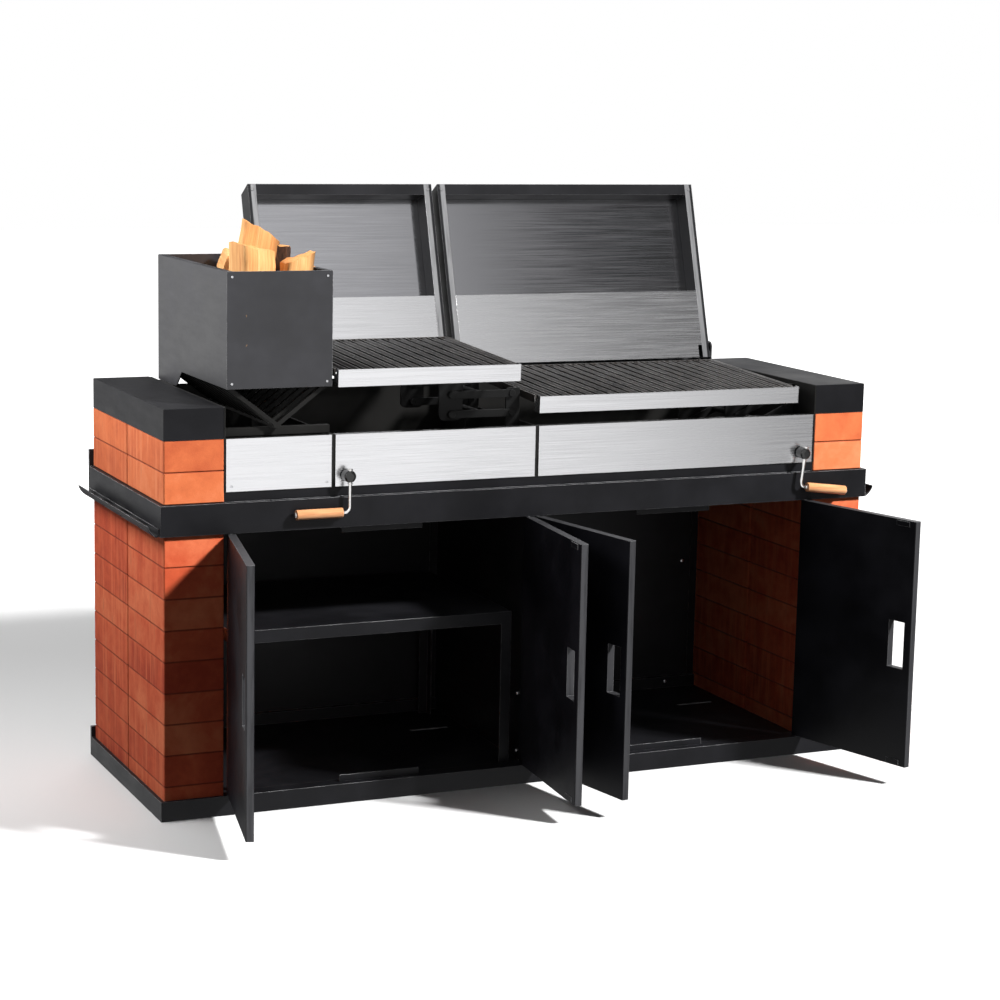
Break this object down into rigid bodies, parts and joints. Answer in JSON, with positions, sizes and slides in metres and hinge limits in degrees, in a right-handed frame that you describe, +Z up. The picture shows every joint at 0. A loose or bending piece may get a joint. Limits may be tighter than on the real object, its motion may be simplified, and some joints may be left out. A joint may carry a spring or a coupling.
{
  "type": "charcoal barbecue island",
  "caption": "Brick and steel barbecue island with crank-lifted grates, ember basket, rear-hinged lids, door cabinets and hook rails.",
  "frame": {"origin": "centre of the plinth's underside, where the barbecue stands on the ground", "axes": "+X to the right along the front, +Y to the back, +Z up"},
  "size_m": [1.8892, 1.0773, 1.4013],
  "materials": {
    "brick": "matt fired clay",
    "frame_black": "satin black powder coat",
    "door_black": "satin black powder coat",
    "firebox_black": "matt heat-proof black",
    "stainless": "brushed, fine horizontal grain",
    "lid_steel": "satin dark grey",
    "lid_inner": "smooth dark steel",
    "basket_grey": "satin graphite grey",
    "grate_iron": "seasoned black with worn bright edges",
    "lift_steel": "matt black",
    "bright_steel": "bright turned steel",
    "hub_black": "black moulded knob",
    "grip_wood": "turned hardwood, oiled",
    "fastener": "zinc plated",
    "bush_metal": "sintered bronze"
  },
  "bodies": {
    "frame": {"plinth": "frame_black", "lower_bricks_left": "brick", "lower_bricks_right": "brick", "upper_bricks_left": "brick", "upper_bricks_right": "brick", "mid_frame": "frame_black", "tool_rail_left": "frame_black", "tool_rail_right": "frame_black", "cap_left": "frame_black", "cap_right": "frame_black", "cabinet_divider": "frame_black", "cabinet_backs": "frame_black", "cabinet_shelf": "frame_black", "door_stops": "frame_black", "cabinet_bolts": "fastener", "door_pins": "fastener", "firebox_floor": "firebox_black", "firebox_liner": "firebox_black", "bay_dividers": "firebox_black", "front_panel_left": "stainless", "front_panel_centre": "stainless", "front_panel_right": "stainless", "panel_screws": "fastener", "basket_supports": "firebox_black", "lift_brackets": "lift_steel", "crank_bushes": "bush_metal", "lid_hinges": "lid_steel"},
    "basket": {"basket_sides": "basket_grey", "basket_front": "basket_grey", "basket_back": "basket_grey", "fire_bars": "firebox_black", "basket_screws": "fastener"},
    "door_outer_left": {"door_outer_left": "door_black"},
    "door_inner_left": {"door_inner_left": "door_black"},
    "door_inner_right": {"door_inner_right": "door_black"},
    "door_outer_right": {"door_outer_right": "door_black"},
    "left_lid": {"left_lid_shell": "lid_steel", "left_lid_panel": "lid_inner", "left_splash_plate": "stainless"},
    "left_upper_arms": {"left_upper_arms": "lift_steel"},
    "left_lower_arms": {"left_lower_arms": "lift_steel"},
    "left_grate": {"left_grate_frame": "grate_iron", "left_grate_bars": "grate_iron", "left_grease_channel": "stainless", "left_carriers": "lift_steel"},
    "left_crank": {"left_crank_hub": "hub_black"},
    "left_crank_rod": {"left_crank_rod": "bright_steel"},
    "left_crank_grip": {"left_crank_grip": "grip_wood"},
    "right_lid": {"right_lid_shell": "lid_steel", "right_lid_panel": "lid_inner", "right_splash_plate": "stainless"},
    "right_upper_arms": {"right_upper_arms": "lift_steel"},
    "right_lower_arms": {"right_lower_arms": "lift_steel"},
    "right_grate": {"right_grate_frame": "grate_iron", "right_grate_bars": "grate_iron", "right_grease_channel": "stainless", "right_carriers": "lift_steel"},
    "right_crank": {"right_crank_hub": "hub_black"},
    "right_crank_rod": {"right_crank_rod": "bright_steel"},
    "right_crank_grip": {"right_crank_grip": "grip_wood"}
  },
  "joints": [
    {"name": "door_outer_left_hinge", "type": "hinge", "parent": "frame", "child": "door_outer_left", "pos_m": [-0.749, -0.295, 0.35], "axis": [0, 0, -1], "range_deg": [-101.8, 8.2]},
    {"name": "door_inner_left_hinge", "type": "hinge", "parent": "frame", "child": "door_inner_left", "pos_m": [-0.012, -0.295, 0.35], "axis": [0, 0, 1], "range_deg": [-85, 3]},
    {"name": "door_inner_right_hinge", "type": "hinge", "parent": "frame", "child": "door_inner_right", "pos_m": [0.012, -0.295, 0.35], "axis": [0, 0, -1], "range_deg": [-79.5, 8.5]},
    {"name": "door_outer_right_hinge", "type": "hinge", "parent": "frame", "child": "door_outer_right", "pos_m": [0.749, -0.295, 0.35], "axis": [0, 0, 1], "range_deg": [-105.5, 4.5]},
    {"name": "left_lid_hinge", "type": "hinge", "parent": "frame", "child": "left_lid", "pos_m": [-0.245, 0.24771, 0.97686], "axis": [-1, 0, 0], "range_deg": [-73, 0]},
    {"name": "right_lid_hinge", "type": "hinge", "parent": "frame", "child": "right_lid", "pos_m": [0.387, 0.24771, 0.97686], "axis": [-1, 0, 0], "range_deg": [-106.9, 0]},
    {"name": "basket_lift_off", "type": "slide", "parent": "frame", "child": "basket", "axis": [0, 0, 1], "range_m": [0, 0.35]},
    {"name": "left_grate_lift", "type": "hinge", "parent": "frame", "child": "left_upper_arms", "pos_m": [-0.02, -0.191, 0.934], "axis": [0, 1, 0], "range_deg": [-18, 30]},
    {"name": "left_lower_arm_swing", "type": "hinge", "parent": "frame", "child": "left_lower_arms", "pos_m": [-0.02, -0.191, 0.888], "axis": [0, 1, 0], "range_deg": [-18, 30]},
    {"name": "left_grate_level", "type": "hinge", "parent": "left_upper_arms", "child": "left_grate", "pos_m": [-0.175, -0.191, 0.934], "axis": [0, 1, 0], "range_deg": [-30, 18]},
    {"name": "left_crank_turn", "type": "hinge", "parent": "frame", "child": "left_crank", "pos_m": [-0.475, -0.3, 0.773], "axis": [0, -1, 0], "range_deg": [-108, 180]},
    {"name": "left_crank_fold", "type": "hinge", "parent": "left_crank", "child": "left_crank_rod", "pos_m": [-0.475, -0.32, 0.773], "axis": [0, 0, 1], "range_deg": [0, 90]},
    {"name": "left_grip_spin", "type": "hinge", "parent": "left_crank_rod", "child": "left_crank_grip", "pos_m": [-0.535, -0.32, 0.691], "axis": [-1, 0, 0], "continuous": true},
    {"name": "right_grate_lift", "type": "hinge", "parent": "frame", "child": "right_upper_arms", "pos_m": [0.739, -0.191, 0.91904], "axis": [0, 1, 0], "range_deg": [0, 46]},
    {"name": "right_lower_arm_swing", "type": "hinge", "parent": "frame", "child": "right_lower_arms", "pos_m": [0.739, -0.191, 0.87304], "axis": [0, 1, 0], "range_deg": [0, 46]},
    {"name": "right_grate_level", "type": "hinge", "parent": "right_upper_arms", "child": "right_grate", "pos_m": [0.5974, -0.191, 0.856], "axis": [0, 1, 0], "range_deg": [-46, 0]},
    {"name": "right_crank_turn", "type": "hinge", "parent": "frame", "child": "right_crank", "pos_m": [0.726, -0.3, 0.773], "axis": [0, -1, 0], "range_deg": [0, 276]},
    {"name": "right_crank_fold", "type": "hinge", "parent": "right_crank", "child": "right_crank_rod", "pos_m": [0.726, -0.32, 0.773], "axis": [-0.1219, 0, -0.9925], "range_deg": [0, 90]},
    {"name": "right_grip_spin", "type": "hinge", "parent": "right_crank_rod", "child": "right_crank_grip", "pos_m": [0.77556, -0.32, 0.6843], "axis": [0.9925, 0, -0.1219], "continuous": true}
  ],
  "couplings": [
    {"joint": "left_lower_arm_swing", "follows": "left_grate_lift", "ratio": 1},
    {"joint": "left_grate_level", "follows": "left_grate_lift", "ratio": -1},
    {"joint": "left_crank_turn", "follows": "left_grate_lift", "ratio": 6},
    {"joint": "right_lower_arm_swing", "follows": "right_grate_lift", "ratio": 1},
    {"joint": "right_grate_level", "follows": "right_grate_lift", "ratio": -1},
    {"joint": "right_crank_turn", "follows": "right_grate_lift", "ratio": 6}
  ]
}
